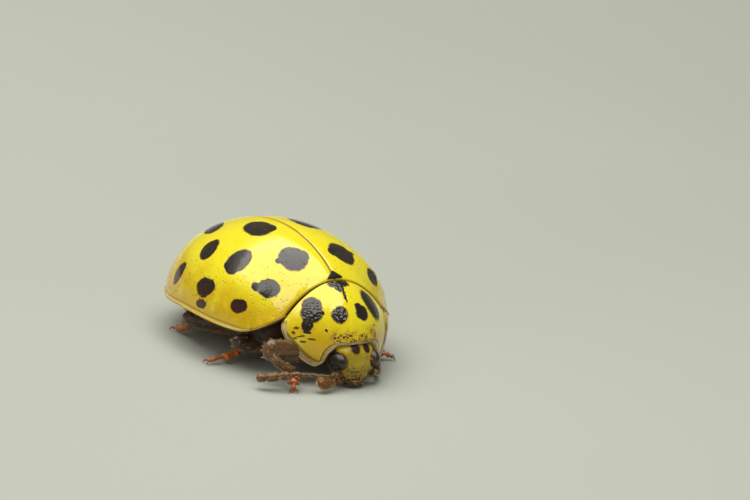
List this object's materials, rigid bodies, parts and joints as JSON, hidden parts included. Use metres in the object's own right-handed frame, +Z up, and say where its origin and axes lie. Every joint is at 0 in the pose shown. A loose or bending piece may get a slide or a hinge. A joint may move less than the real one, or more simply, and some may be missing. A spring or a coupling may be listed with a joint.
{
  "type": "twenty-two-spot ladybird model",
  "caption": "Life-size museum model of a yellow ladybird with black spots, standing on six legs with its head bowed.",
  "frame": {"origin": "on the floor under the middle of the model", "axes": "+Z up, head towards -Y, the animal's left side towards +X"},
  "size_m": [0.0028, 0.0042, 0.0018],
  "materials": {
    "shell_yellow": "gloss",
    "plate_black": "gloss",
    "face_yellow": "satin",
    "eye_black": "gloss",
    "leg_amber": "satin",
    "belly_brown": "satin"
  },
  "bodies": {
    "root": {"abdomen": "belly_brown", "antenna_club_left": "leg_amber", "antenna_club_right": "leg_amber", "antenna_left": "leg_amber", "antenna_right": "leg_amber", "elytron_left": "shell_yellow", "elytron_right": "shell_yellow", "eye_left": "eye_black", "eye_right": "eye_black", "head": "face_yellow", "labrum": "leg_amber", "leg_front_left_femur": "leg_amber", "leg_front_left_tarsus": "leg_amber", "leg_front_left_tibia": "leg_amber", "leg_front_right_femur": "leg_amber", "leg_front_right_tarsus": "leg_amber", "leg_front_right_tibia": "leg_amber", "leg_hind_left_femur": "leg_amber", "leg_hind_left_tarsus": "leg_amber", "leg_hind_left_tibia": "leg_amber", "leg_hind_right_femur": "leg_amber", "leg_hind_right_tarsus": "leg_amber", "leg_hind_right_tibia": "leg_amber", "leg_middle_left_femur": "leg_amber", "leg_middle_left_tarsus": "leg_amber", "leg_middle_left_tibia": "leg_amber", "leg_middle_right_femur": "leg_amber", "leg_middle_right_tarsus": "leg_amber", "leg_middle_right_tibia": "leg_amber", "pronotum": "shell_yellow", "prothorax": "belly_brown", "scutellum": "plate_black", "thorax": "belly_brown"}
  },
  "joints": []
}
